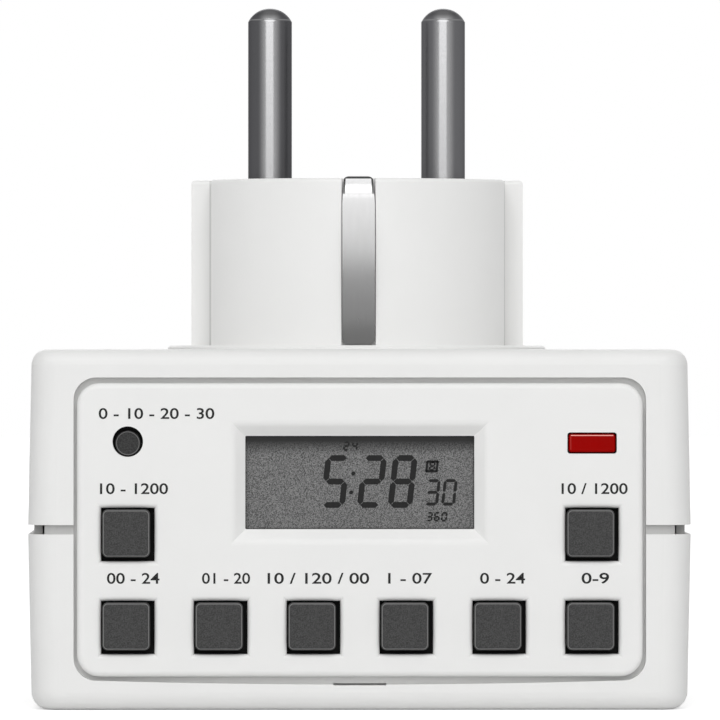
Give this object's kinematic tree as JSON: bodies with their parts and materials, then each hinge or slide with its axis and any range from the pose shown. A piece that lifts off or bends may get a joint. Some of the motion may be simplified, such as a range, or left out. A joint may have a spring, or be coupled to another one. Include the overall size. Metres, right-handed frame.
{
  "type": "plug-in digital timer switch",
  "caption": "Plug-in weekly timer switch: two-shell housing with round side-earth plug, socket recess, display window, lamp and push keys.",
  "frame": {"origin": "on the shared axis of plug and socket recess, in the plane of the socket-side base", "axes": "+Z along the plug pins, +X to the right of the control panel, -Y out of the control panel"},
  "size_m": [0.0704, 0.0576, 0.0757],
  "materials": {
    "housing_white": "satin moulded ABS",
    "panel_white": "fine satin moulded ABS",
    "plug_white": "satin moulded thermoplastic",
    "socket_white": "satin moulded thermoplastic",
    "lens_red": "clear red moulding",
    "display_glass": "polished display glass",
    "display_reflector": "matt reflector foil",
    "holder_plastic": "moulded",
    "zebra_rubber": "striped silicone",
    "mat_rubber": "matt silicone",
    "pad_gold": "gold flash",
    "lamp_red": "diffused epoxy",
    "board_green": "solder mask",
    "board_tan": "phenolic laminate",
    "chip_black": "moulded epoxy",
    "crystal_can": "drawn can",
    "relay_case": "sealed case",
    "capacitor_yellow": "potted box",
    "can_sleeve": "shrink sleeve",
    "varistor_blue": "dipped epoxy",
    "diode_black": "moulded epoxy",
    "resistor_body": "lacquered",
    "tinned_pin": "tinned",
    "cell_steel": "nickelled can",
    "screw_zinc": "zinc plated",
    "pin_nickel": "nickel plated brass, satin turned",
    "earth_bright": "nickel plated leaf",
    "yoke_brass": "nickel flashed spring brass",
    "contact_brass": "bright spring brass",
    "shutter_grey": "acetal",
    "spring_steel": "spring steel",
    "key_rubber": "matt silicone",
    "pill_carbon": "carbon loaded silicone"
  },
  "bodies": {
    "housing": {"backup_cells": "cell_steel", "board_screws": "screw_zinc", "clock_crystal": "crystal_can", "contact_pads": "pad_gold", "control_board": "board_green", "control_panel": "panel_white", "controller_chip": "chip_black", "diodes": "diode_black", "display_glass_front": "display_glass", "display_glass_rear": "display_glass", "display_holder": "holder_plastic", "display_reflector": "display_reflector", "earth_strip_front": "earth_bright", "earth_strip_rear": "earth_bright", "earth_yoke": "yoke_brass", "film_capacitor": "capacitor_yellow", "fuse_resistor": "resistor_body", "housing_screws": "screw_zinc", "indicator_lamp": "lamp_red", "key_mat": "mat_rubber", "lamp_lens": "lens_red", "line_contact": "contact_brass", "line_pin": "pin_nickel", "line_strap": "contact_brass", "link_header": "chip_black", "link_pins": "tinned_pin", "neutral_contact": "contact_brass", "neutral_pin": "pin_nickel", "neutral_strap": "contact_brass", "plug_body": "plug_white", "plug_shell": "housing_white", "power_board": "board_tan", "relay": "relay_case", "shutter_cover": "holder_plastic", "shutter_spring": "spring_steel", "smoothing_capacitors": "can_sleeve", "socket_cup": "socket_white", "socket_shell": "housing_white", "varistor": "varistor_blue", "zebra_strip": "zebra_rubber"},
    "random_key": {"key_random": "key_rubber", "pill_random": "pill_carbon"},
    "recall_key": {"key_recall": "key_rubber", "pill_recall": "pill_carbon"},
    "clock_key": {"key_clock": "key_rubber", "pill_clock": "pill_carbon"},
    "timer_key": {"key_timer": "key_rubber", "pill_timer": "pill_carbon"},
    "mode_key": {"key_mode": "key_rubber", "pill_mode": "pill_carbon"},
    "week_key": {"key_week": "key_rubber", "pill_week": "pill_carbon"},
    "hour_key": {"key_hour": "key_rubber", "pill_hour": "pill_carbon"},
    "minute_key": {"key_minute": "key_rubber", "pill_minute": "pill_carbon"},
    "reset_key": {"key_reset": "key_rubber", "pill_reset": "pill_carbon"},
    "shutter": {"shutter": "shutter_grey"}
  },
  "joints": [
    {"name": "random_press", "type": "slide", "parent": "housing", "child": "random_key", "axis": [0, 1, 0], "range_m": [0, 0.0009], "stiffness_N_per_m": 300, "springref_m": -0.0008},
    {"name": "recall_press", "type": "slide", "parent": "housing", "child": "recall_key", "axis": [0, 1, 0], "range_m": [0, 0.0009], "stiffness_N_per_m": 300, "springref_m": -0.0008},
    {"name": "clock_press", "type": "slide", "parent": "housing", "child": "clock_key", "axis": [0, 1, 0], "range_m": [0, 0.0009], "stiffness_N_per_m": 300, "springref_m": -0.0008},
    {"name": "timer_press", "type": "slide", "parent": "housing", "child": "timer_key", "axis": [0, 1, 0], "range_m": [0, 0.0009], "stiffness_N_per_m": 300, "springref_m": -0.0008},
    {"name": "mode_press", "type": "slide", "parent": "housing", "child": "mode_key", "axis": [0, 1, 0], "range_m": [0, 0.0009], "stiffness_N_per_m": 300, "springref_m": -0.0008},
    {"name": "week_press", "type": "slide", "parent": "housing", "child": "week_key", "axis": [0, 1, 0], "range_m": [0, 0.0009], "stiffness_N_per_m": 300, "springref_m": -0.0008},
    {"name": "hour_press", "type": "slide", "parent": "housing", "child": "hour_key", "axis": [0, 1, 0], "range_m": [0, 0.0009], "stiffness_N_per_m": 300, "springref_m": -0.0008},
    {"name": "minute_press", "type": "slide", "parent": "housing", "child": "minute_key", "axis": [0, 1, 0], "range_m": [0, 0.0009], "stiffness_N_per_m": 300, "springref_m": -0.0008},
    {"name": "reset_press", "type": "slide", "parent": "housing", "child": "reset_key", "axis": [0, 1, 0], "range_m": [0, 0.0009], "stiffness_N_per_m": 300, "springref_m": -0.0008},
    {"name": "shutter_turn", "type": "hinge", "parent": "housing", "child": "shutter", "pos_m": [0, 0, 0.02035], "axis": [0, 0, 1], "range_deg": [0, 40], "stiffness_Nm_per_rad": 0.002, "springref_deg": -11.46, "deforming": ["shutter_spring"]}
  ]
}
